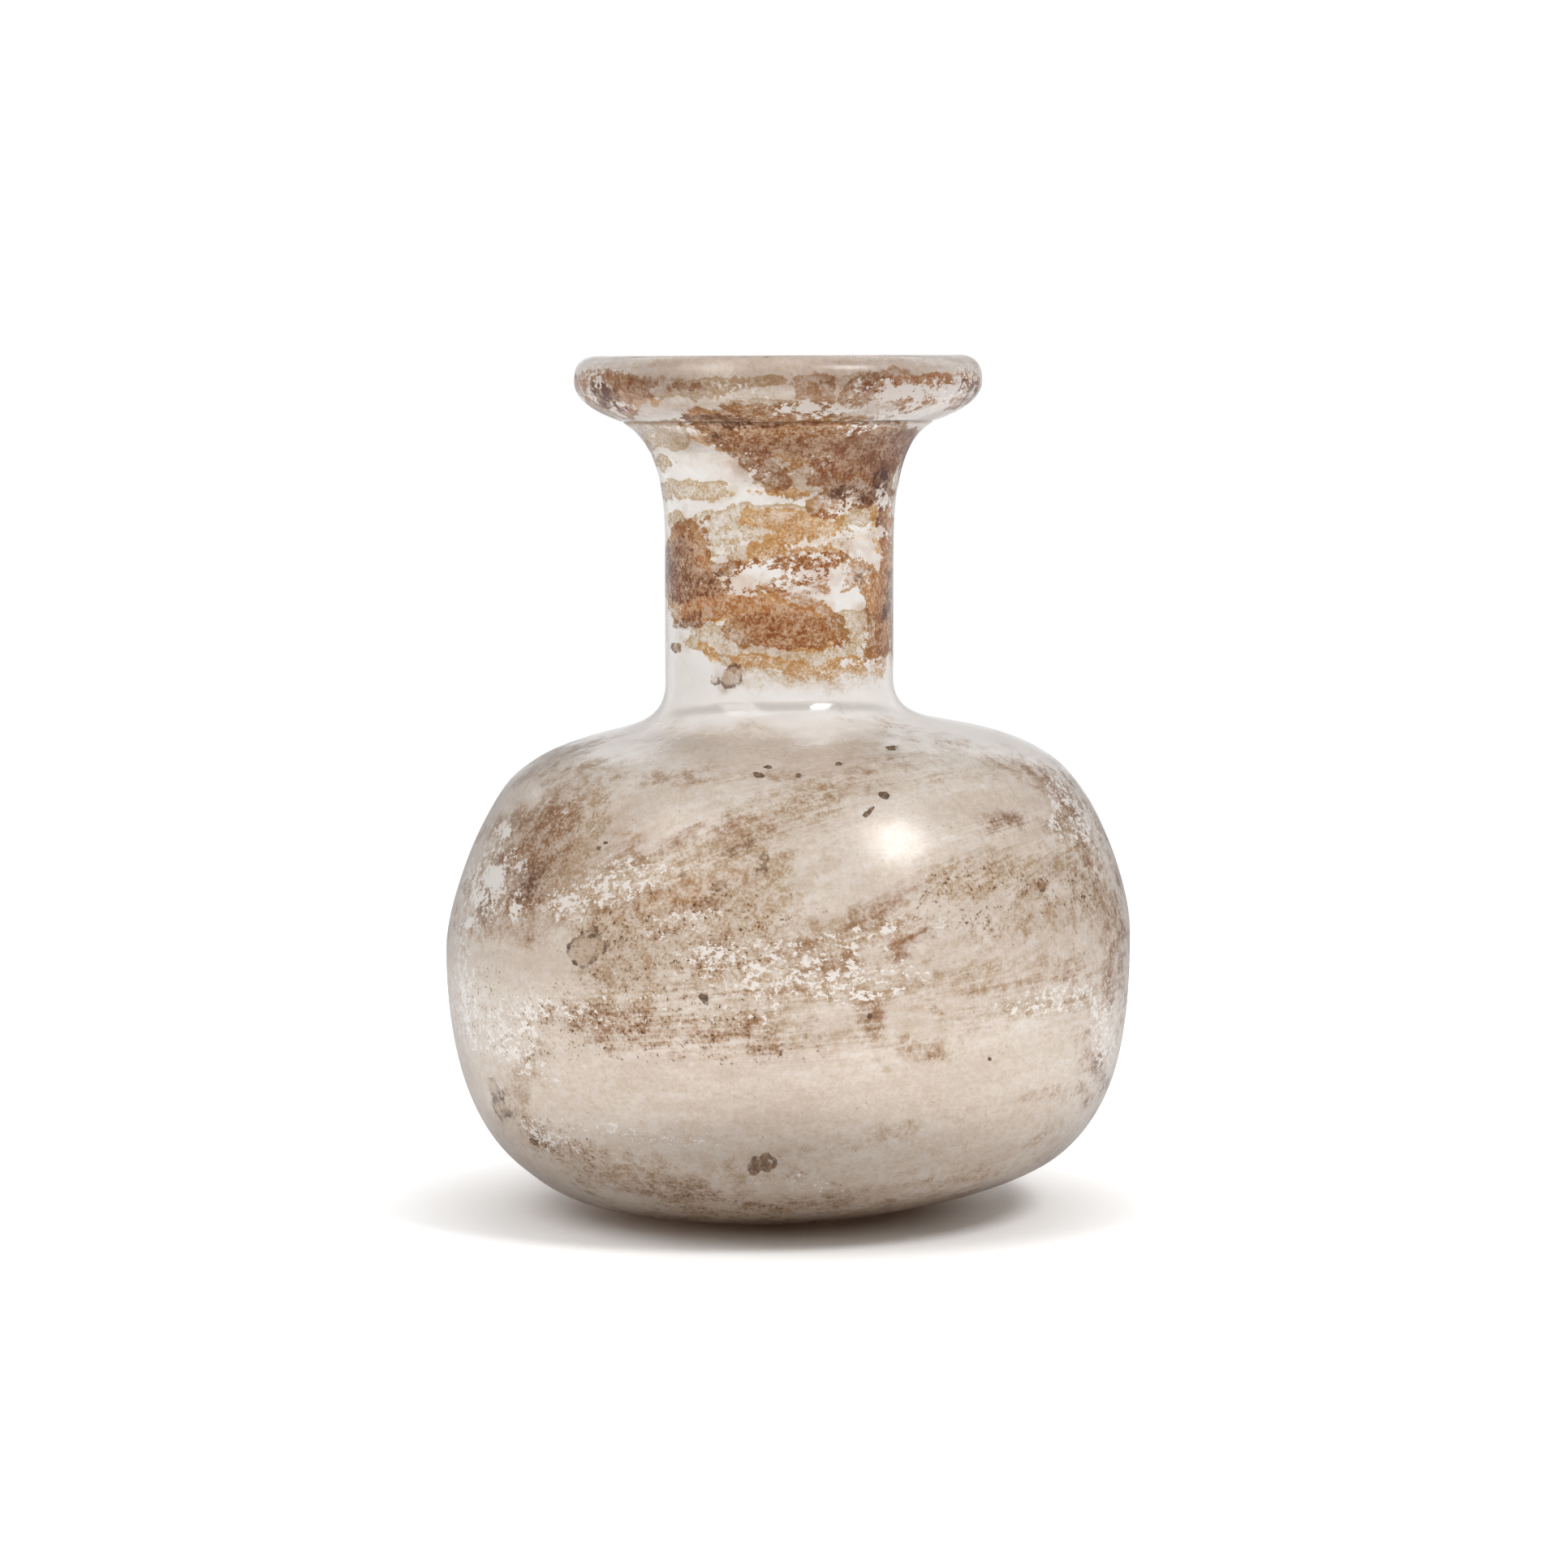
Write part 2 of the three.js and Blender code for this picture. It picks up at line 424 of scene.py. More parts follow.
NECK = smears(
    film=[(1000, 560, 160, 45, -8, 3)],
    tan=[(815, 537, 42, 19, -8), (818, 571, 14, 9, -20), (852, 603, 46, 14, 0, 3),
         (1000, 555, 130, 54, -10, 3), (970, 596, 48, 13, -6), (1063, 635, 24, 15),
         (1094, 570, 12, 60), (833, 640, 13, 13), (860, 636, 6, 5), (900, 660, 60, 28, -14),
         (965, 650, 80, 26, -4, 3), (985, 680, 100, 40, 8), (1075, 600, 34, 40),
         (890, 790, 60, 30, -20, 3), (1060, 780, 40, 34, 0, 3), (960, 800, 110, 44, -5, 3),
         (945, 842, 46, 8, -2), (831, 802, 6, 9, 10)],
    brown=[(990, 540, 142, 34, -6, 3), (925, 560, 62, 26, -38), (1040, 572, 64, 34, -5, 3),
           (1040, 612, 42, 20, 8), (1098, 590, 8, 46), (848, 690, 34, 56, -4, 3),
           (885, 712, 56, 24, 4), (858, 752, 44, 28, 10), (1000, 705, 104, 30, 8, 3),
           (1088, 735, 24, 66, 0, 3), (1095, 660, 14, 60), (955, 758, 76, 40, -6, 3),
           (905, 782, 26, 12, -30), (905, 760, 16, 34, -30), (900, 830, 14, 17)],
    orange=[(985, 548, 140, 36, -8, 3), (975, 604, 44, 5), (846, 700, 34, 60, 0, 3),
            (870, 745, 50, 30, 10), (960, 640, 50, 13, -6), (990, 662, 54, 10, 6),
            (1020, 645, 28, 15, 40), (985, 690, 80, 30, 8), (1090, 705, 22, 96, 0, 3),
            (950, 762, 70, 32, -10), (985, 785, 44, 18, -4), (1030, 826, 52, 9, 4, 3),
            (870, 800, 26, 8, -48), (940, 815, 60, 8, -8)],
    dark=[(890, 522, 44, 7, -2), (870, 532, 18, 7, -20), (1035, 606, 28, 8, 5),
          (1087, 597, 10, 16), (1078, 610, 14, 8, 30), (1090, 640, 8, 22), (838, 700, 22, 50, 6),
          (868, 718, 40, 16, 4), (850, 765, 30, 12, 14), (1062, 705, 6, 18, -14),
          (1094, 745, 9, 34)],
    flecks=[(885, 553, 32, 9, -22), (930, 574, 45, 22, -12), (990, 566, 60, 16),
            (1035, 622, 34, 20, 10), (895, 662, 52, 24, -16), (1000, 700, 100, 40, 6),
            (1045, 672, 58, 20, 8), (960, 706, 70, 14, 8), (920, 808, 24, 7),
            (1000, 836, 90, 8, -2), (826, 770, 8, 40)],
    specks=[(1040, 617, 40, 20, 10), (900, 830, 15, 18)],
    bare=[(1092, 618, 7, 10, 10), (945, 706, 52, 9, 10), (915, 716, 16, 9, 30),
          (1010, 668, 36, 7, 10), (1065, 662, 36, 9, 6), (1033, 712, 18, 19, -18),
          (1076, 690, 13, 14, 30), (968, 722, 20, 5, -10), (1008, 732, 18, 6, -25),
          (990, 708, 30, 5, 4), (1062, 818, 18, 3, 8)],
)

ALL_OVER = smears(
    film=[(972, 1210, 460, 305, 0, 3)],
)

# The left shoulder and side
LEFT_SIDE = smears(
    tan=[(725, 918, 70, 8, 20), (705, 955, 66, 18, 18), (880, 957, 150, 7, 2),
         (672, 1045, 120, 74, 50), (690, 1030, 50, 50, 30)],
    brown=[(755, 947, 12, 4), (835, 952, 50, 4), (662, 1035, 84, 46, 56), (625, 1110, 50, 36, 30),
           (690, 1000, 34, 24, -20), (596, 1150, 32, 16, 0, 3), (640, 1150, 34, 14, -10),
           (764, 1028, 22, 12, -10), (778, 1046, 28, 12)],
    dark=[(650, 1085, 22, 30, -30), (600, 1122, 26, 12, 20)],
    flecks=[(606, 1085, 46, 60), (700, 1110, 46, 26), (692, 1004, 10, 9),
            (742, 1066, 26, 10, 24)],
    bare=[(618, 1028, 9, 12), (610, 1090, 13, 20, 10), (634, 1124, 12, 9, -20),
          (588, 1104, 7, 12), (578, 1135, 9, 6)],
    orange=[(768, 1028, 22, 13, -10)],
    specks=[(741, 1042, 12, 8)],
)

# Smears across the middle of the front
FRONT = smears(
    tan=[(980, 992, 150, 15, 17), (895, 1026, 74, 16, 24), (945, 1010, 200, 34, 25),
         (850, 1120, 160, 84, 14, 3), (830, 1055, 66, 20, 20), (850, 1110, 110, 40, 16, 3),
         (870, 1175, 140, 34, 6, 3), (944, 1057, 8, 8), (878, 1100, 24, 10, 10),
         (1040, 1150, 90, 30, 20)],
    brown=[(985, 990, 44, 7, 26), (950, 1020, 140, 8, 26), (1020, 975, 90, 7, 18),
           (770, 1110, 60, 12, 18), (850, 1120, 50, 14, 8), (930, 1150, 60, 10, 14),
           (860, 1030, 70, 9, 20), (905, 1046, 60, 5, 25), (985, 1036, 32, 9, 26),
           (818, 1150, 40, 16, -10), (900, 1180, 90, 14, 2), (937, 1080, 14, 8, 30),
           (1090, 1112, 40, 16, 24), (1110, 1165, 44, 17, 38), (1040, 1150, 44, 8, 16),
           (1070, 1140, 26, 9, 30), (760, 1160, 30, 12, -10)],
    flecks=[(770, 1085, 80, 26, 20), (820, 1140, 90, 22, 14), (900, 1175, 120, 24, 8),
            (660, 1240, 110, 14, -12), (640, 1310, 70, 12, -24), (800, 1400, 150, 10, -6),
            (806, 1134, 22, 9)],
    specks=[(850, 1150, 160, 60, 8)],
    orange=[(850, 1100, 100, 14, 18)],
    dark=[(900, 1050, 56, 2.5, 25), (1128, 1168, 24, 5, 42), (768, 1156, 20, 8, -10)],
    bare=[(1098, 1146, 14, 5, 20)],
)

# The band of white flakes and the mottled band under it
BANDS = smears(
    tan=[(950, 1212, 180, 34, 2, 3), (860, 1262, 170, 34, -4, 3), (1050, 1278, 56, 11, -6)],
    brown=[(1010, 1196, 70, 16, 8), (940, 1224, 60, 13, 4), (870, 1225, 40, 12, 10),
           (850, 1272, 130, 22, -5), (708, 1240, 9, 13, 10), (755, 1262, 44, 7, -14),
           (775, 1285, 46, 10, -8), (845, 1292, 60, 10, -4), (930, 1264, 60, 7, 8),
           (866, 1296, 26, 8)],
    dark=[(874, 1226, 14, 8, 10)],
    flecks=[(975, 1208, 170, 34, 3), (960, 1203, 110, 16, 4), (1040, 1226, 80, 14),
            (1070, 1155, 50, 14, 12), (880, 1255, 110, 20)],
    specks=[(850, 1270, 170, 50, -4)],
)

# The streaky right side
RIGHT_SIDE = smears(
    tan=[(1240, 1072, 150, 22, 7), (1152, 1298, 19, 18), (1073, 1262, 18, 22, -10),
         (1118, 1282, 16, 20, -14), (1170, 1250, 50, 14, -6), (1092, 1317, 8, 6),
         (1210, 1092, 60, 9, 12), (1290, 1120, 90, 18, 6), (1195, 1098, 80, 20, 6, 3),
         (1265, 1142, 70, 20, 6, 3), (1230, 1152, 120, 10, 6), (1310, 1180, 80, 14, 10),
         (1250, 1212, 120, 8, 6), (1150, 960, 80, 8, 4), (1190, 915, 70, 6, -14),
         (1270, 1240, 120, 12, 5), (1230, 1190, 130, 12, 7), (1250, 950, 60, 12, -22),
         (1325, 1030, 60, 28, -55), (1355, 1120, 36, 50), (1350, 1268, 20, 9, 20),
         (1300, 1348, 36, 9, 10), (1285, 1395, 40, 12, 26)],
    brown=[(1152, 1296, 15, 14), (1071, 1257, 13, 17, -10), (1120, 1278, 11, 16, -14),
           (1155, 1244, 11, 11), (1192, 1227, 10, 10), (1376, 1130, 16, 130),
           (1228, 1136, 40, 9, 10), (1286, 1088, 30, 8, 8), (1330, 1195, 44, 9, 12),
           (1365, 1205, 22, 14, 20), (1288, 975, 60, 24, -40), (1345, 1060, 44, 12, -62),
           (1238, 1013, 36, 10, -8), (1212, 1006, 10, 9), (1352, 1310, 17, 40, 22),
           (1340, 1358, 14, 20, 34), (1275, 1350, 18, 6, 20)],
    flecks=[(1290, 1240, 110, 12, 4), (1200, 1130, 60, 12, 8), (1320, 1000, 60, 40, -45),
            (1345, 1035, 22, 14, -50), (1300, 1225, 80, 14, 10), (1366, 1290, 22, 80, 14)],
    specks=[(1230, 1110, 130, 40, 6)],
    dark=[(1240, 1013, 24, 8, -8), (1352, 1326, 12, 30, 22), (1340, 1362, 8, 12, 34)],
)

# The lower left, and the bottom edge
BOTTOM = smears(
    flecks=[(575, 1230, 26, 110, 8), (618, 1262, 40, 52, 10), (672, 1398, 50, 22, -36),
            (985, 1460, 50, 12, -6)],
    tan=[(655, 1392, 66, 22, -46), (640, 1350, 26, 50, -20), (690, 1425, 90, 16, -36),
         (780, 1452, 150, 26, -18), (1000, 1486, 240, 14, 4), (930, 1446, 64, 12, -4),
         (1200, 1448, 90, 10, 14), (1100, 1395, 90, 6, 12)],
    specks=[(700, 1415, 90, 30, -36), (600, 1240, 50, 70, 10), (680, 1260, 70, 50),
            (617, 1350, 10, 24, 24), (900, 1490, 280, 16)],
    brown=[(657, 1405, 14, 7, -30), (860, 1470, 130, 10, -4), (965, 1438, 36, 7, -16),
           (1110, 1443, 6, 4)],
)

# Dried drops, and where the film looks brushed
DROPS = smears(
    drops=[(716, 1171, 20, 18), (738, 1166, 12, 16, 10), (728, 1150, 11, 8, 20),
           (899, 832, 15, 17, 0, 2.4), (880, 836, 9, 8), (886, 1221, 12, 9, 10),
           (612, 1338, 9, 16, 24), (622, 1364, 10, 15, 24), (940, 1077, 14, 8, 30),
           (885, 1097, 20, 9, 16), (944, 1057, 8, 8), (935, 1433, 15, 12, 10),
           (831, 802, 7, 9, 10)],
    brushed=[(1250, 1150, 190, 130, 6), (930, 1000, 240, 60, 16), (960, 1250, 200, 60, 3)],
)
SMEARS = COLLAR + NECK + ALL_OVER + LEFT_SIDE + FRONT + BANDS + RIGHT_SIDE + BOTTOM + DROPS


def pictured(points):
    """Where points in millimetres appear in the reference picture, in its pixels."""
    pitch = math.atan2(PICTURE_CAMERA[2] - PICTURE_AIM_HEIGHT, -PICTURE_CAMERA[1])
    x, y, z = np.moveaxis(points - np.array(PICTURE_CAMERA), -1, 0)
    depth = y * math.cos(pitch) - z * math.sin(pitch)
    rise = z * math.cos(pitch) + y * math.sin(pitch)
    centre = PICTURE_SIDE / 2
    return centre + PICTURE_FOCAL * np.stack([x, -rise], -1) / depth[..., None]


def depth_in_smear(places, smear):
    """How deep places lie inside a smear, in millimetres; below zero outside it."""
    lean = math.radians(smear.lean)
    across = places[..., 0] - smear.x
    up = smear.y - places[..., 1]
    a = np.abs(across * math.cos(lean) + up * math.sin(lean)) / smear.wide
    b = np.abs(up * math.cos(lean) - across * math.sin(lean)) / smear.tall
    reach = (a ** smear.corner + b ** smear.corner) ** (1 / smear.corner)
    return (1 - reach) * min(smear.wide, smear.tall) / PIXELS_PER_MM


# Patches are pushed out of shape by so many pixels, more at the back, which repeats the front
PUSH_SIZE, PUSH_SEED, PUSH_FRONT, PUSH_BACK = 3.2, 3, 6, 26
SMALL_PUSH_SIZE, SMALL_PUSH_SEED, SMALL_PUSH = 1.4, 5, 3
BACK_BEGINS = (-0.1, 0.6)

# Their edges are ragged, in millimetres, and drawn out along the blown glass
DRAWN_OUT = (0.4, 0.4, 1)
RAG_SIZE, RAG_SEED = 3.4, 11
SMALL_RAG_SIZE, SMALL_RAG_SEED, SMALL_RAG = 1.5, 12, 0.6
RAG_SHARE, RAG_MOST = 0.35, 1.2
DEPTH_MOST = 2.0
BACK_THINNER = 0.25


def layer_depths(points, turn):
    """For each layer, how deep each point lies inside its smears, in millimetres."""
    back = smooth(-np.cos(turn), *BACK_BEGINS)[..., None]
    places = (pictured(points)
              + warp(points, PUSH_SIZE, PUSH_SEED) * (PUSH_FRONT + PUSH_BACK * back)
              + warp(points, SMALL_PUSH_SIZE, SMALL_PUSH_SEED) * SMALL_PUSH)
    drawn_out = points * DRAWN_OUT
    ragged = (value_noise(drawn_out, RAG_SIZE, RAG_SEED)
              + SMALL_RAG * value_noise(drawn_out, SMALL_RAG_SIZE, SMALL_RAG_SEED))
    depths = {layer: np.full(len(points), -DEPTH_MOST) for layer in LAYERS}
    for smear in SMEARS:
        rag = min(RAG_SHARE * min(smear.wide, smear.tall) / PIXELS_PER_MM, RAG_MOST)
        depth = depth_in_smear(places, smear) + rag * ragged
        depths[smear.layer] = np.maximum(depths[smear.layer], depth)
    for layer, depth in depths.items():
        depths[layer] = np.clip(depth - BACK_THINNER * back[..., 0], -DEPTH_MOST, DEPTH_MOST)
    return depths


# The mesh of the glass

# Points round each ring, how far they crowd to the front, and millimetres between rings
OUTER_TURNS = 300
INNER_TURNS = OUTER_TURNS // 2
FRONT_BIAS = 0.35
BASE_ROW, BODY_ROW, NECK_ROW, INNER_ROW = 0.9, 0.6, 0.42, 1.4

# Rise of the streaks towards the right, as a slope, and how much more they rise near this height
STREAK_LEAN = 0.09
UPPER_LEAN, UPPER_LEAN_HEIGHT, UPPER_LEAN_REACH = 0.3, 38, 7


def ring_turns(count):
    """Turns round the axis from the back, closer together at the front."""
    t = np.linspace(-np.pi, np.pi, count, endpoint=False)
    return t - FRONT_BIAS * np.sin(t)


def ring_grid(line, turns):
    """Radius, turn and height for each point of a line carried round the axis."""
    turn = np.broadcast_to(ring_turns(turns), (len(line), turns))
    return np.broadcast_to(line[:, :1], turn.shape), turn, np.broadcast_to(line[:, 1:], turn.shape)


def wound(first, second, turns):
    """Four-sided faces between two rings with as many points, given their first vertices."""
    i = np.arange(turns)
    j = (i + 1) % turns
    return np.stack([first + i, first + j, second + j, second + i], 1).tolist()


def glass_faces(outer_rows, inner_rows):
    """Faces of the closed glass: an outer face, a step to half as many points, and the inner face.

    The first and last vertices are the two middles, under the foot and on the floor inside."""
    faces = []
    ring = 1
    for row in range(outer_rows - 1):
        faces += wound(ring + row * OUTER_TURNS, ring + (row + 1) * OUTER_TURNS, OUTER_TURNS)
    last = ring + (outer_rows - 1) * OUTER_TURNS
    inner = last + OUTER_TURNS
    for k in range(INNER_TURNS):
        here, there = inner + k, inner + (k + 1) % INNER_TURNS
        a, b, c = (last + (2 * k + i) % OUTER_TURNS for i in range(3))
        faces += [[a, b, here], [b, c, there], [b, there, here]]
    for row in range(inner_rows - 1):
        faces += wound(inner + row * INNER_TURNS, inner + (row + 1) * INNER_TURNS, INNER_TURNS)
    end = inner + (inner_rows - 1) * INNER_TURNS
    top = end + INNER_TURNS
    faces += [[0, ring + (i + 1) % OUTER_TURNS, ring + i] for i in range(OUTER_TURNS)]
    faces += [[end + i, end + (i + 1) % INNER_TURNS, top] for i in range(INNER_TURNS)]
    return faces


def outer_line(outline):
    """The outline from under the foot over the rim into the mouth, in even steps."""
    return joined(
        evenly(outline.base(), BASE_ROW),
        evenly(outline.body(), BODY_ROW),
        evenly(outline.collar_line(), NECK_ROW),
        evenly(outline.lip(), NECK_ROW),
    )[1:]


def glass_mesh(outline):
    """The whole flask as one closed mesh in metres, its points holding the layers' depths."""
    outside = outer_line(outline)
    inside = evenly(joined(outline.funnel(), outline.cavity()), INNER_ROW)[1:-1]
    outer, inner = ring_grid(outside, OUTER_TURNS), ring_grid(inside, INNER_TURNS)
    rise, floor = outline.shape.push_up / MM, outline.shape.wall_foot / MM
    middles = outline.settled(np.zeros(2), np.zeros(2), np.array([rise, rise + floor]))
    points = np.vstack([
        middles[:1],
        outline.waved(*outer).reshape(-1, 3),
        outline.settled(*inner).reshape(-1, 3),
        middles[1:],
    ])
    turn = np.concatenate([[np.pi], outer[1].ravel(), inner[1].ravel(), [np.pi]])
    faces = glass_faces(len(outside), len(inside))
    mesh = bpy.data.meshes.new("glass")
    mesh.from_pydata((points * MM).tolist(), [], faces)
    first_inner = 1 + outer[1].size
    mesh.polygons.foreach_set("material_index", [int(min(face) >= first_inner) for face in faces])
    for layer, depth in layer_depths(points, turn).items():
        depth[first_inner:] = -DEPTH_MOST
        put_attribute(mesh, layer + "_depth", depth)
    across, height = points[:, 0], points[:, 2]
    from_upper = (height - UPPER_LEAN_HEIGHT) / UPPER_LEAN_REACH
    lean = STREAK_LEAN + UPPER_LEAN * np.exp(-from_upper ** 2)
    swirl = np.stack([np.sin(turn), -np.cos(turn), height - lean * across], -1)
    put_attribute(mesh, "swirl", swirl)
    mesh.shade_smooth()
    return mesh


def put_attribute(mesh, name, values):
    """Stores one number or one vector for each point of a mesh."""
    vector = values.ndim == 2
    attribute = mesh.attributes.new(name, "FLOAT_VECTOR" if vector else "FLOAT", "POINT")
    attribute.data.foreach_set("vector" if vector else "value", values.astype(np.float32).ravel())


# Crumbs of soil that stand up from the glass

class Crumb(NamedTuple):
    """A lump of soil. Place and half sizes are pixels of the reference picture, tall is in mm."""
    x: float
    y: float
    wide: float
    high: float
    lean: float = 0
    tall: float = 0.16


CRUMBS = (
    Crumb(936, 1433, 16, 13, 10, 0.28),
    Crumb(867, 1230, 6, 8, 30, 0.16),
    Crumb(708, 1186, 5, 3, -40, 0.12),
    Crumb(729, 1153, 5, 3, 20, 0.12),
    Crumb(700, 1166, 2.5, 5, 0, 0.1),
    Crumb(946, 945, 5, 2, 0, 0.15),
    Crumb(935, 955, 7, 3, -10, 0.16),
    Crumb(984, 955, 5, 2.5, 0, 0.15),
    Crumb(1033, 941, 5, 2, 0, 0.15),
    Crumb(1100, 922, 10, 3, 4, 0.16),
    Crumb(1089, 980, 7, 5, 0, 0.14),
    Crumb(1070, 1000, 9, 3.5, 40, 0.14),
    Crumb(1072, 1252, 3, 4, -20, 0.11),
    Crumb(1220, 1305, 2.5, 2.5, 0, 0.15),
    Crumb(1285, 1097, 3, 2, 0, 0.15),
    Crumb(1335, 1105, 3, 2, 0, 0.15),
    Crumb(737, 1045, 3, 2.5, 0, 0.15),
    Crumb(745, 1038, 3, 2, 0, 0.15),
    Crumb(657, 1406, 5, 3.5, -30, 0.15),
)

# Rings and sides of a crumb, the share of its width where the rings begin, how many millimetres it
# sits in the glass, and the weight, size and seed of the noises in its outline and on its top
CRUMB_RINGS, CRUMB_SIDES = 9, 32
CRUMB_TOP = 0.06
CRUMB_SINK = 0.07
CRUMB_BULGES = ((0.4, 0.9), (0.3, 0.4))
CRUMB_LUMPS = ((1.1, 0.6, 40), (0.6, 0.25, 41))

# Small steps in turn and row, for finding which way the surface runs
SMALL_TURN, SMALL_ROW = 0.001, 0.01
FRONT_TURN, FRONT_TURNS, ROW_STEP = 1.35, 100, 2.0
NEARING_STEPS, TURN_STEP_MOST, ROW_STEP_MOST = 8, 0.1, 6


def on_glass(outline, line, turn, row):
    """Points on the outer face at a turn and at a row of the outline."""
    rows = np.arange(len(line))
    radius, height = (np.interp(row, rows, line[:, i]) for i in range(2))
    return outline.settled(radius, turn, height)


def under_pixels(outline, line, pixels):
    """The turn and row on the front of the glass that appear at pixels of the picture."""
    turns, rows = np.meshgrid(np.linspace(-FRONT_TURN, FRONT_TURN, FRONT_TURNS),
                              np.arange(0, len(line), ROW_STEP))
    seen = pictured(on_glass(outline, line, turns, rows))
    nearest = np.argmin(np.linalg.norm(seen - pixels.mean(0), axis=-1))
    turn = np.full(len(pixels), turns.flat[nearest])
    row = np.full(len(pixels), rows.flat[nearest])
    for _ in range(NEARING_STEPS):
        here = pictured(on_glass(outline, line, turn, row))
        turned = pictured(on_glass(outline, line, turn + SMALL_TURN, row))
        raised = pictured(on_glass(outline, line, turn, row + SMALL_ROW))
        change = np.stack([(turned - here) / SMALL_TURN, (raised - here) / SMALL_ROW], -1)
        steps = np.linalg.solve(change, (pixels - here)[..., None])[..., 0]
        turn = turn + np.clip(steps[:, 0], -TURN_STEP_MOST, TURN_STEP_MOST)
        row = row + np.clip(steps[:, 1], -ROW_STEP_MOST, ROW_STEP_MOST)
    return turn, row


def crumb_points(outline, line, crumb, seed):
    """The rings of points of one crumb from its top to its rim, in millimetres."""
    part = np.linspace(CRUMB_TOP, 1, CRUMB_RINGS)[:, None]
    turn = np.linspace(0, 2 * np.pi, CRUMB_SIDES, endpoint=False)[None, :]
    circle = np.stack([np.cos(turn), np.sin(turn), turn * 0 + seed], -1)
    bulge = sum(weight * value_noise(circle, size, seed) for weight, size in CRUMB_BULGES)
    reach = part * (1 + bulge)
    lean = math.radians(crumb.lean)
    a, b = crumb.wide * reach * np.cos(turn), crumb.high * reach * np.sin(turn)
    across = a * math.cos(lean) - b * math.sin(lean)
    up = a * math.sin(lean) + b * math.cos(lean)
    pixels = np.array([crumb.x, crumb.y]) + np.stack([across, up], -1).reshape(-1, 2) * (1, -1)
    turns, rows = under_pixels(outline, line, pixels)
    ground = on_glass(outline, line, turns, rows)
    by_turn = on_glass(outline, line, turns + SMALL_TURN, rows) - ground
    by_row = on_glass(outline, line, turns, rows + SMALL_ROW) - ground
    outward = np.cross(by_turn, by_row)
    outward /= np.linalg.norm(outward, axis=1)[:, None]
    edge = np.broadcast_to(part, (CRUMB_RINGS, CRUMB_SIDES)).ravel()
    hump = np.sqrt(1 - edge ** 2)
    rough = sum((weight * value_noise(ground, size, lump_seed)
                 for weight, size, lump_seed in CRUMB_LUMPS), 1)
    return ground + outward * (crumb.tall * hump * rough - CRUMB_SINK)[:, None]


def crumb_mesh(outline):
    """All the crumbs as one mesh of small closed lumps, in metres."""
    line = outer_line(outline)
    points, faces = [], []
    for seed, crumb in enumerate(CRUMBS):
        first = seed * CRUMB_RINGS * CRUMB_SIDES
        rings = [first + r * CRUMB_SIDES for r in range(CRUMB_RINGS)]
        for inner, outer in zip(rings, rings[1:]):
            faces += wound(outer, inner, CRUMB_SIDES)
        faces.append(list(range(rings[0], rings[0] + CRUMB_SIDES)))
        faces.append(list(range(rings[-1] + CRUMB_SIDES - 1, rings[-1] - 1, -1)))
        points.append(crumb_points(outline, line, crumb, seed))
    mesh = bpy.data.meshes.new("crumbs")
    mesh.from_pydata((np.vstack(points) * MM).tolist(), [], faces)
    mesh.validate()
    mesh.shade_smooth()
    return mesh


# Materials

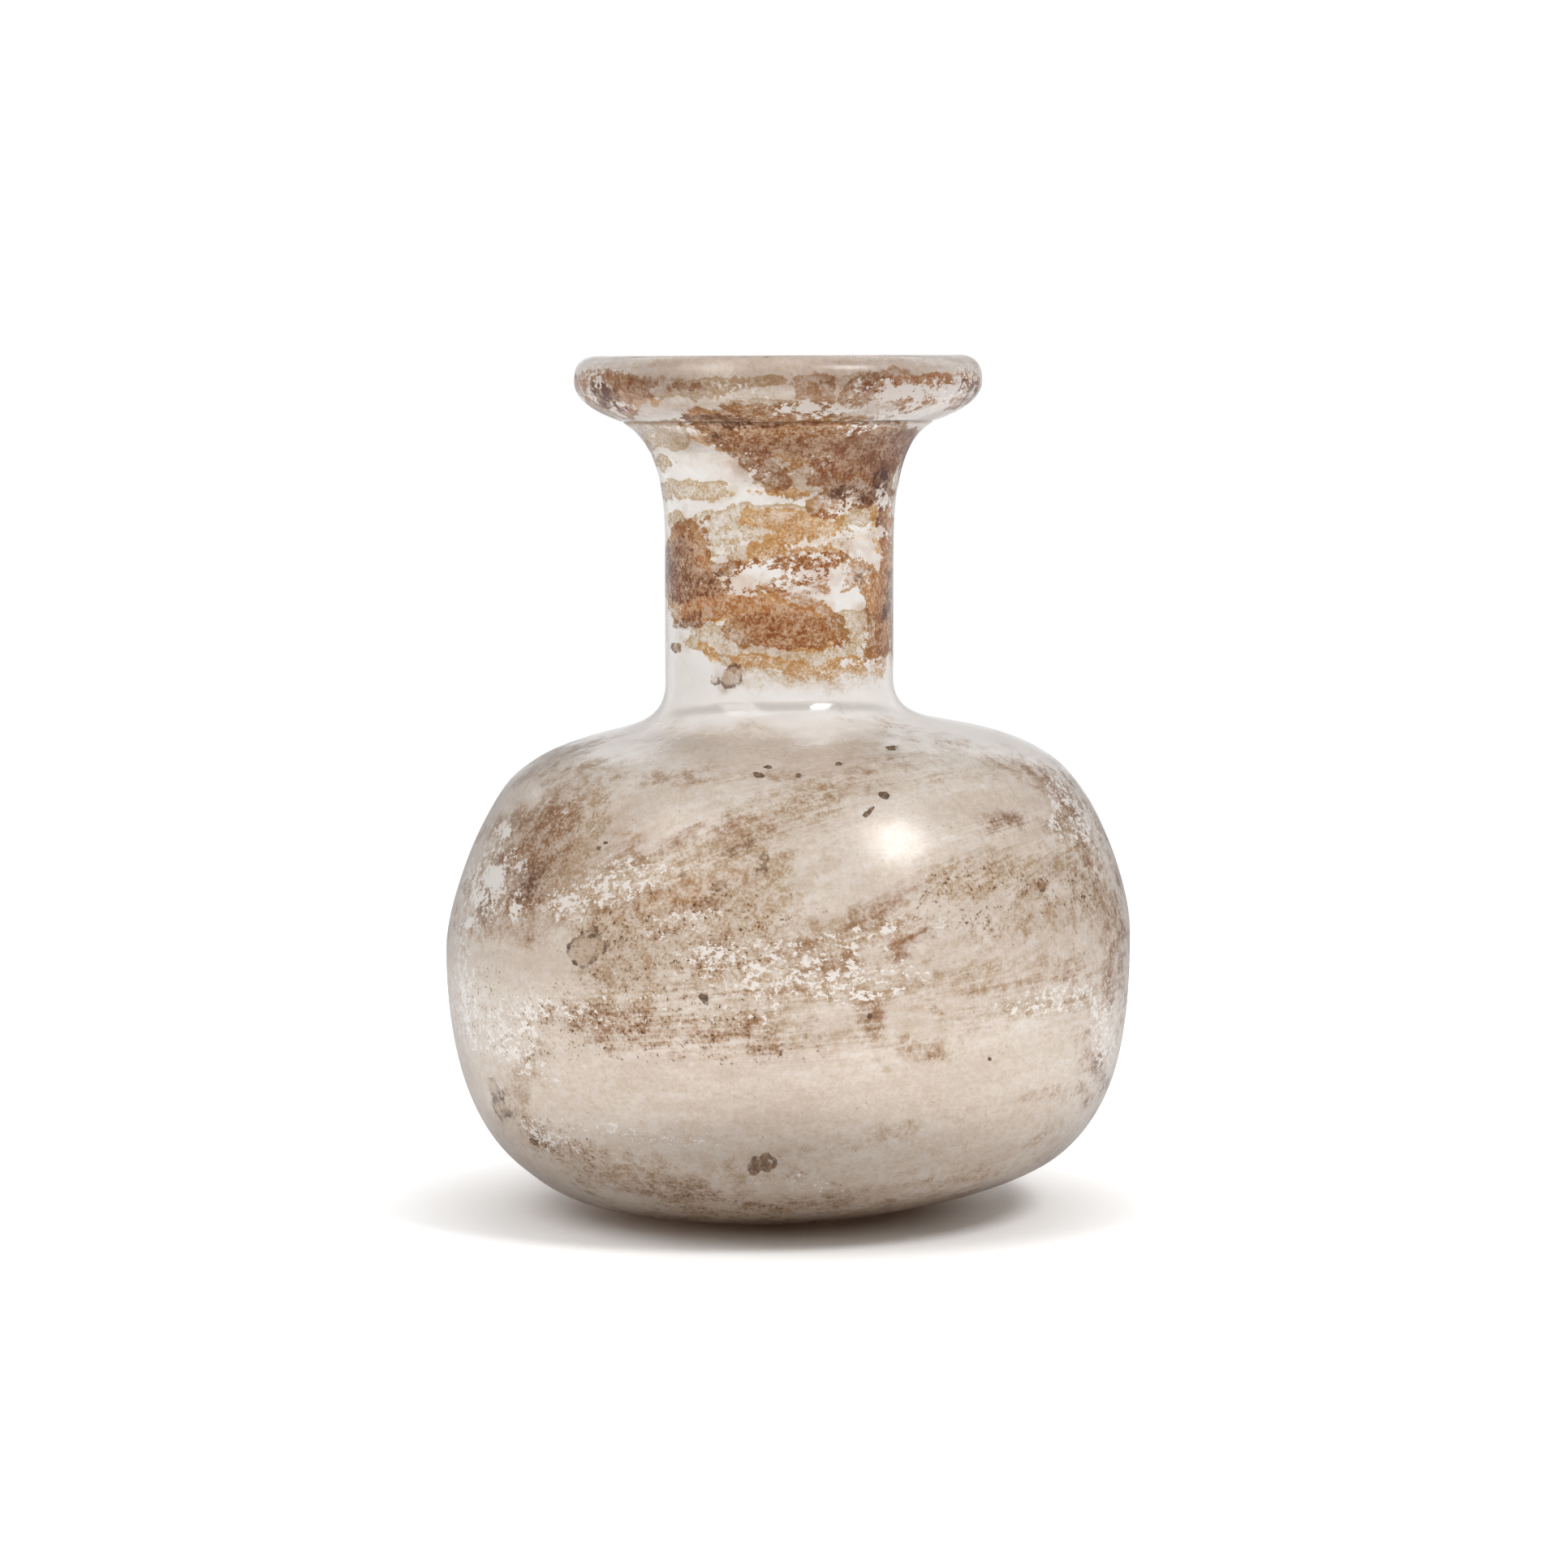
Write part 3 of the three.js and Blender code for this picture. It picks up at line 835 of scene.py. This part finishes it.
class Web:
    """Short calls for laying the nodes of one material, or of the world."""

    def __init__(self, owner):
        self.owner = owner
        owner.use_nodes = True
        self.tree = owner.node_tree
        self.tree.nodes.clear()

    def node(self, kind, inputs=(), **settings):
        """A new node with some of its inputs linked or set."""
        made = self.tree.nodes.new("ShaderNode" + kind)
        for key, value in settings.items():
            setattr(made, key, value)
        for key, value in dict(inputs).items():
            self.put(made.inputs[key], value)
        return made

    def put(self, socket, value):
        """Links a socket to the one given, or sets it to a plain value."""
        if isinstance(value, bpy.types.NodeSocket):
            self.tree.links.new(value, socket)
        else:
            socket.default_value = value

    def sum(self, kind, a, b=0.0):
        """One Math node."""
        return self.node("Math", {0: a, 1: b}, operation=kind).outputs[0]

    def times(self, a, b):
        return self.sum("MULTIPLY", a, b)

    def most(self, a, b):
        return self.sum("MAXIMUM", a, b)

    def rest(self, value):
        """What the value leaves of one."""
        return self.sum("SUBTRACT", 1.0, value)

    def weighed(self, *pairs):
        """The sum of values, each times a number."""
        total = None
        for value, weight in pairs:
            part = self.times(value, weight)
            total = part if total is None else self.sum("ADD", total, part)
        return total

    def between(self, amount, a, b):
        """Goes from one number to another as the amount goes from 0 to 1."""
        made = self.node("Mix", data_type="FLOAT")
        for key, value in ((0, amount), (2, a), (3, b)):
            self.put(made.inputs[key], value)
        return made.outputs[0]

    def range(self, value, low, high, to_low=0.0, to_high=1.0):
        """Moves a value from one range to another, smoothly, and keeps it there."""
        made = self.node("MapRange", interpolation_type="SMOOTHSTEP")
        for key, number in enumerate((value, low, high, to_low, to_high)):
            self.put(made.inputs[key], number)
        return made.outputs[0]

    def attribute(self, name, output="Fac"):
        return self.node("Attribute", attribute_name=name).outputs[output]

    def stretched(self, vector, scale):
        return self.node("Mapping", {"Vector": vector, "Scale": scale}).outputs[0]

    def moved(self, vector, shift):
        """Another part of the noise, turned so that no two of its grids line up."""
        return self.node("Mapping", {
            "Vector": vector, "Location": (shift, 2 * shift, 0),
            "Rotation": (0.3 * shift, 0.5 * shift, 0.7 * shift)}).outputs[0]

    def noise(self, vector, scale, detail=2.0, rough=0.55):
        """Noise from about -1 to 1."""
        made = self.node("TexNoise", {"Vector": vector, "Scale": scale, "Detail": detail,
                                      "Roughness": rough})
        return self.node("MapRange", {0: made.outputs[0], 1: 0.3, 2: 0.7, 3: -1.0, 4: 1.0},
                         clamp=False).outputs[0]

    def mix(self, kind, amount, a, b):
        """One colour laid over another."""
        made = self.node("Mix", data_type="RGBA", blend_type=kind)
        for key, value in ((0, amount), (6, a), (7, b)):
            self.put(made.inputs[key], value)
        return made.outputs[2]

    def tinted(self, colour_in, tint, amount):
        """The colour seen through one more layer of a tint."""
        return self.mix("MULTIPLY", amount, colour_in, tint)


def opaque(rgb):
    """A colour with full alpha."""
    return (*rgb, 1)


# Each stain, how much of it shows where it is thinnest, and how strong its tide line is
STAINS = (("tan", 0.2, 0.45), ("brown", 0.3, 0.45), ("orange", 0.45, 0.45), ("dark", 0.3, 0.0))

# Heights between which the look changes, in metres
NECK_BEGINS = (0.054, 0.058)
COLLAR_BEGINS = (0.081, 0.0845)
COLLAR_CRISPNESS = 0.8
# The glass is tinted darker tan from the second of these heights down to the first, with a
# wavering edge
BOTTOM_TINT, BOTTOM_TINT_WAVER = (0.002, 0.021), 0.0012
# Painted shade: between these heights brown darkens the lowest glass, where the foot meets the
# ground
UNDER_FOOT_SHADE = (0.0008, 0.0028)

# How far the glass turns away before its edge tint begins and is full, and its faint relief
EDGE_SHOWS = (0.65, 0.96)
RELIEF_HEIGHT, RELIEF_STRENGTH = 0.00003, 0.4


class WeatheredGlass(Web):
    """Clear glass under a thin stained crust that has flaked off in places."""

    def __init__(self, finish):
        super().__init__(bpy.data.materials.new("weathered_glass"))
        self.finish = finish
        place = self.node("TexCoord").outputs["Object"]
        self.height = self.node("SeparateXYZ", {0: place}).outputs["Z"]
        self.layer = {name: self.attribute(name + "_depth") for name in LAYERS}
        self.noises = self.laid_noises(place, self.attribute("swirl", "Vector"))
        self.rgb = self.mix("MIX", self.range(self.noises["streaks"], -1, 1),
                            opaque(finish.clear), opaque(finish.clear_dim))
        bare = self.flaked_off()
        film_mask, film = self.lay_film(bare)
        crust = self.lay_stains(bare)
        self.lay_drops()
        self.lay_bottom_tint_and_painted_shade(bare)
        self.lay_specks(film_mask)
        facing = self.node("LayerWeight", {"Blend": 0.5}).outputs["Facing"]
        self.tint(finish.edge, self.range(facing, *EDGE_SHOWS))
        self.end(film_mask, film, crust)

    def laid_noises(self, place, swirl):
        """The noises that the layers share, from broad streaks to the finest grain."""
        upright = self.stretched(place, (1, 1, 1.5))
        hairs = self.noise(self.stretched(swirl, (5, 5, 2.2)), 1.0, 3.0, 0.65)
        brushed = self.range(self.layer["brushed"], -2.0, 1.0, 0.08, 0.3)
        return {
            "streaks": self.noise(self.stretched(swirl, (1.8, 1.8, 0.3)), 1.0, 5.0, 0.6),
            "brushed": self.times(hairs, brushed),
            "clouds": self.noise(self.moved(place, 1), 300.0, 5.0, 0.68),
            "flakes": self.noise(self.moved(place, 3), 800.0, 5.0, 0.74),
            "chips": self.noise(self.moved(upright, 7), 1350.0, 4.0, 0.72),
            "grain": self.noise(self.moved(place, 5), 3000.0, 2.0, 0.7),
        }

    def ragged(self, start=None, **weights):
        """The sum of weighed noises, and of a start such as the depth in a layer."""
        pairs = [] if start is None else [(start, 1.0)]
        pairs += [(self.noises[name], weight) for name, weight in weights.items()]
        return self.weighed(*pairs)

    def tint(self, colour_seen, amount):
        """Lays one more tint over the colour so far."""
        self.rgb = self.tinted(self.rgb, opaque(colour_seen), amount)

    def flaked_off(self):
        """Where film and crust have come off: whole patches, and small ragged flecks."""
        patches = self.ragged(self.layer["bare"], clouds=0.35, flakes=-0.5, chips=0.6)
        zone = self.times(self.range(self.layer["flecks"], -1.3, 1.3), 0.95)
        flecks = self.ragged(zone, chips=0.8, flakes=-0.35, clouds=0.3)
        return self.most(self.range(patches, -0.05, 0.07), self.range(flecks, 1.04, 1.16))

    def lay_film(self, bare):
        """Lays the cloudy film. Gives where it lies, and how dense it is there."""
        mask = self.range(
            self.ragged(self.layer["film"], streaks=0.9, clouds=0.5, flakes=0.3), -1.5, 1.2)
        density = self.range(
            self.ragged(streaks=0.4, brushed=1.0, flakes=0.35, chips=0.3, grain=0.25),
            -0.9, 0.8, 0.3, 1.0)
        film = self.times(self.times(mask, density), self.rest(bare))
        pearl = self.mix("MIX", self.range(self.ragged(streaks=0.6, clouds=0.5), -0.4, 0.8),
                         opaque(self.finish.film), opaque(self.finish.film_cool))
        self.rgb = self.tinted(self.rgb, pearl, film)
        return mask, film

    def lay_stains(self, bare):
        """Lays the four stains, and gives where any of them lies.

        They end crisply, with a dark tide line, on the neck, and like smoke on the body."""
        pinholes = self.range(self.ragged(grain=-0.8, flakes=-0.4), 0.8, 0.95, 0.0, 0.85)
        left = self.rest(self.most(bare, pinholes))
        neck = self.times(self.range(self.height, *NECK_BEGINS),
                          self.range(self.height, *COLLAR_BEGINS, 1.0, COLLAR_CRISPNESS))
        mottle = self.ragged(flakes=0.5, clouds=0.3, grain=0.45, brushed=0.8)
        crust = None
        for name, thinnest, rim in STAINS:
            crisp_depth = self.ragged(self.layer[name], clouds=0.3, flakes=0.28)
            smoky_depth = self.ragged(self.layer[name], clouds=0.8, flakes=0.5, brushed=1.5)
            tide = self.times(self.range(crisp_depth, 0.35, 0.1), rim)
            density = self.range(mottle, -0.5, 0.5, thinnest, 1.0)
            firm = self.times(self.range(crisp_depth, -0.05, 0.07),
                              self.sum("MINIMUM", self.sum("ADD", density, tide), 1.0))
            smoky = self.times(self.range(smoky_depth, -0.5, 1.6, 0.0, 0.9), density)
            amount = self.times(self.between(neck, smoky, firm), left)
            self.tint(getattr(self.finish, name), amount)
            crust = amount if crust is None else self.most(crust, amount)
        return crust

    def lay_drops(self):
        """Lays dried drops, pale in the middle and dark, with gaps, round their edge."""
        depth = self.ragged(self.layer["drops"], flakes=0.16, grain=0.05)
        ring = self.times(self.range(depth, 0.42, 0.18), self.range(depth, -0.03, 0.06))
        gaps = self.range(self.ragged(clouds=0.5, flakes=0.7), -0.3, 0.3, 0.0, 0.85)
        self.tint(self.finish.tan, self.times(self.range(depth, 0.0, 0.2), 0.35))
        self.tint(self.finish.speck, self.times(ring, gaps))

    def lay_bottom_tint_and_painted_shade(self, bare):
        """Tints the glass darker tan towards the bottom, and paints shade in brown on the lowest
        glass, where the foot meets the ground.
        """
        wavering = self.ragged(self.height, flakes=BOTTOM_TINT_WAVER)
        low = self.times(self.range(wavering, *BOTTOM_TINT, 0.3, 0.0), self.rest(bare))
        self.tint(self.finish.tan, low)
        # Painted shade: brown on the glass just above the ground darkens it under the foot
        self.tint(self.finish.brown, self.range(self.height, *UNDER_FOOT_SHADE, 0.5, 0.0))

    def lay_specks(self, film_mask):
        """Lays dark specks in the film, closer together where the picture shows them."""
        zone = self.times(self.range(self.layer["specks"], -0.5, 0.8), 0.4)
        specks = self.range(self.ragged(zone, grain=0.8, flakes=0.4), 0.94, 1.1)
        self.tint(self.finish.speck, self.times(specks, self.range(film_mask, 0.0, 0.6)))

    def end(self, film_mask, film, crust):
        """Puts the colour, the roughness and a faint relief on the shader."""
        roughness = self.weighed(
            (film_mask, self.finish.film_roughness), (crust, self.finish.crust_roughness))
        relief = self.weighed((crust, 0.25), (film, 0.15), (self.noises["grain"], 0.12))
        bump = self.node("Bump", {
            "Height": relief, "Distance": RELIEF_HEIGHT, "Strength": RELIEF_STRENGTH})
        shader = self.node("BsdfPrincipled", {
            "Base Color": self.rgb,
            "Roughness": self.sum("ADD", roughness, self.finish.clear_roughness),
            "Normal": bump.outputs[0],
            "Transmission Weight": self.finish.transmission,
            "IOR": self.finish.ior,
        })
        self.node("OutputMaterial", {0: shader.outputs[0]})


def inner_glass(finish):
    """Clear glass, which the weathering never reached."""
    web = Web(bpy.data.materials.new("inner_glass"))
    shader = web.node("BsdfPrincipled", {
        "Base Color": opaque(finish.inside),
        "Roughness": finish.inside_roughness,
        "Transmission Weight": 1.0,
        "IOR": finish.ior,
    })
    web.node("OutputMaterial", {0: shader.outputs[0]})
    return web.owner


def soil(finish):
    """Matt brown soil with paler grains."""
    web = Web(bpy.data.materials.new("soil"))
    place = web.node("TexCoord").outputs["Object"]
    clumps = web.noise(place, 2600.0, 3.0, 0.65)
    rgb = web.mix("MIX", web.range(clumps, -0.5, 0.8), opaque(finish.soil_dark),
                  opaque(finish.soil_pale))
    bump = web.node("Bump", {"Height": clumps, "Distance": 0.00004, "Strength": 0.6})
    shader = web.node("BsdfPrincipled", {
        "Base Color": rgb, "Roughness": web.range(clumps, -1, 1, 0.7, 0.95),
        "Normal": bump.outputs[0]})
    web.node("OutputMaterial", {0: shader.outputs[0]})
    return web.owner


def add_piece(context, name, mesh, *materials):
    """Puts a finished mesh in the scene and hangs it on the flask."""
    piece = bpy.data.objects.new(name, mesh)
    context.scene.collection.objects.link(piece)
    for material in materials:
        mesh.materials.append(material)
    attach(piece, "root")
    return piece


class FLASK_OT_blow_glass(bpy.types.Operator):
    """Blow the flask's glass around the packed model and weather it"""
    bl_idname = "flask.blow_glass"
    bl_label = "Blow the Glass"

    def execute(self, context):
        outline = Outline(context.scene.flask_shape)
        finish = context.scene.flask_finish
        glass = add_piece(context, "flask_glass", glass_mesh(outline),
                          WeatheredGlass(finish).owner, inner_glass(finish))
        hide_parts("flask")
        return {"FINISHED"}


class FLASK_OT_leave_soil(bpy.types.Operator):
    """Leave the small crumbs of soil that still stand up from the glass"""
    bl_idname = "flask.leave_soil"
    bl_label = "Leave the Soil"

    def execute(self, context):
        outline = Outline(context.scene.flask_shape)
        add_piece(context, "soil_crumbs", crumb_mesh(outline), soil(context.scene.flask_finish))
        return {"FINISHED"}


# The studio

# Parts of the way from the side to straight behind, and from level to straight overhead
BEHIND = (0.35, 0.93)
OVERHEAD = (0.25, 0.9)
WHITE = (1, 1, 1, 1)


def pale_world(stage):
    """A bright backdrop that falls off to the sides and overhead, so that glass edges read."""
    web = Web(bpy.data.worlds.new("studio"))
    direction = web.node("TexCoord").outputs["Generated"]
    parts = web.node("SeparateXYZ", {0: direction}).outputs
    level = web.range(parts["Y"], *BEHIND, stage.sides, stage.backdrop)
    strength = web.range(parts["Z"], *OVERHEAD, level, stage.overhead)
    background = web.node("Background", {"Color": WHITE, "Strength": strength})
    web.node("OutputWorld", {"Surface": background.outputs[0]})
    return web.owner


def floor_material(stage):
    """Matt white that fades out at its rim into the white studio, with a painted shadow close
    under the foot and a painted glow further out.
    """
    web = Web(bpy.data.materials.new("pale_floor"))
    place = web.node("TexCoord").outputs["Object"]
    far = web.node("VectorMath", {0: place}, operation="LENGTH").outputs["Value"]
    fade = web.range(far, stage.floor_fade, stage.floor_end, 1.0, 0.0)
    # Painted light: the floor glows from a little way out from the flask
    glow = web.range(far, stage.glow_start, stage.glow_full, 0.0, stage.floor_glow)
    # Painted shadow: the floor is dark close under the foot
    floor_with_painted_shadow = web.mix("MIX", web.range(far, stage.shade_start, stage.shade_end),
                    opaque(stage.shade_tint), opaque(stage.floor_tint))
    shader = web.node("BsdfPrincipled", {
        "Base Color": floor_with_painted_shadow, "Roughness": 0.9, "Alpha": fade,
        "Emission Color": WHITE, "Emission Strength": glow})
    web.node("OutputMaterial", {0: shader.outputs[0]})
    return web.owner


def softbox(context, name, turn, size, power):
    """A square lamp aimed at the middle of the flask."""
    stage = context.scene.flask_stage
    light = bpy.data.lights.new(name, "AREA")
    light.size = size
    light.energy = power
    lamp = bpy.data.objects.new(name, light)
    direction = Vector((math.sin(turn) * math.cos(stage.lamp_rise),
                        -math.cos(turn) * math.cos(stage.lamp_rise), math.sin(stage.lamp_rise)))
    lamp.location = direction * stage.lamp_distance + Vector((0, 0, PICTURE_AIM_HEIGHT * MM))
    lamp.rotation_euler = direction.to_track_quat("Z", "Y").to_euler()
    context.scene.collection.objects.link(lamp)


class FLASK_OT_set_stage(bpy.types.Operator):
    """Lay the pale floor, hang the soft lights and set the camera"""
    bl_idname = "flask.set_stage"
    bl_label = "Set the Stage"

    def execute(self, context):
        scene = context.scene
        stage = scene.flask_stage
        bpy.ops.mesh.primitive_circle_add(
            vertices=96, radius=stage.floor_radius, fill_type="TRIFAN")
        floor = context.active_object
        floor.name = "pale_floor"
        floor.data.materials.append(floor_material(stage))
        scene.world = pale_world(stage)
        softbox(context, "left_softbox", -stage.lamp_turn, stage.fill_size, stage.left_power)
        softbox(context, "right_softbox", stage.lamp_turn, stage.lamp_size, stage.right_power)
        camera = bpy.data.objects.new("camera", bpy.data.cameras.new("camera"))
        camera.data.sensor_width = SENSOR_WIDTH
        camera.data.lens = SENSOR_WIDTH * PICTURE_FOCAL / PICTURE_SIDE
        camera.location = Vector(PICTURE_CAMERA) * MM
        aim = Vector((PICTURE_CAMERA[0], 0, PICTURE_AIM_HEIGHT)) * MM
        camera.rotation_euler = (camera.location - aim).to_track_quat("Z", "Y").to_euler()
        scene.collection.objects.link(camera)
        scene.camera = camera
        scene.view_settings.view_transform = "Standard"
        return {"FINISHED"}


class FLASK_PT_panel(bpy.types.Panel):
    """Lists the steps that make the flask, with its sizes and colours"""
    bl_idname = "FLASK_PT_panel"
    bl_label = "Ancient Flask"
    bl_space_type = "VIEW_3D"
    bl_region_type = "UI"
    bl_category = "Flask"

    def draw(self, context):
        for operator in OPERATORS:
            self.layout.operator(operator.bl_idname)
        for name, group in GROUPS.items():
            box = self.layout.box()
            box.label(text=group.__doc__)
            for key in group.__annotations__:
                box.prop(getattr(context.scene, name), key)


GROUPS = {"flask_shape": FlaskShape, "flask_finish": FlaskFinish, "flask_stage": FlaskStage}
OPERATORS = (FLASK_OT_set_stage, FLASK_OT_blow_glass, FLASK_OT_leave_soil)
CLASSES = (*GROUPS.values(), *OPERATORS, FLASK_PT_panel)


def register():
    for cls in CLASSES:
        bpy.utils.register_class(cls)
    for name, group in GROUPS.items():
        setattr(bpy.types.Scene, name, bpy.props.PointerProperty(type=group))


def unregister():
    for name in GROUPS:
        delattr(bpy.types.Scene, name)
    for cls in reversed(CLASSES):
        bpy.utils.unregister_class(cls)


def main():
    register()
    bpy.ops.flask.set_stage()
    bpy.ops.flask.blow_glass()
    bpy.ops.flask.leave_soil()


if __name__ == "__main__":
    main()
